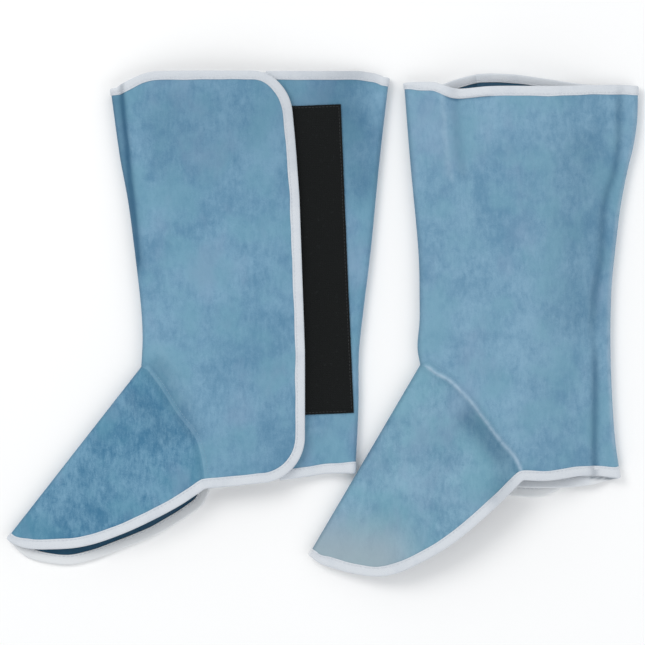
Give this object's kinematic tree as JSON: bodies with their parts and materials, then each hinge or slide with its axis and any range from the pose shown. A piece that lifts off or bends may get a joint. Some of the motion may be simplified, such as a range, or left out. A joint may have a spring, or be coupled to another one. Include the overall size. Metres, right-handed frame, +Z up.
{
  "type": "pair of leather spats",
  "caption": "Pair of welder's spats in blue split leather, lying flat: leg wrapped and closed with black hook tape, vamp sewn to it along a curved seam, edges bound in white tape.",
  "frame": {"origin": "middle of the pair's box, on the plane the pair lies on", "axes": "+Z up from the floor, +Y up the legs toward the top openings, the toes point to -X; the left spat is the one with its closure up"},
  "size_m": [0.5772, 0.4604, 0.0341],
  "materials": {
    "split_leather_blue": "matte suede",
    "binding_tape_white": "matte woven",
    "hook_tape_black": "matte moulded hooks",
    "loop_tape_black": "matte pile"
  },
  "bodies": {
    "root": {"left_leg_panel": "split_leather_blue", "left_vamp": "split_leather_blue", "left_top_binding": "binding_tape_white", "left_flap_binding": "binding_tape_white", "left_vamp_binding": "binding_tape_white", "left_heel_binding": "binding_tape_white", "left_hook_tape": "hook_tape_black", "left_loop_tape": "loop_tape_black", "right_leg_panel": "split_leather_blue", "right_vamp": "split_leather_blue", "right_top_binding": "binding_tape_white", "right_flap_binding": "binding_tape_white", "right_vamp_binding": "binding_tape_white", "right_heel_binding": "binding_tape_white", "right_hook_tape": "hook_tape_black", "right_loop_tape": "loop_tape_black"}
  },
  "joints": []
}
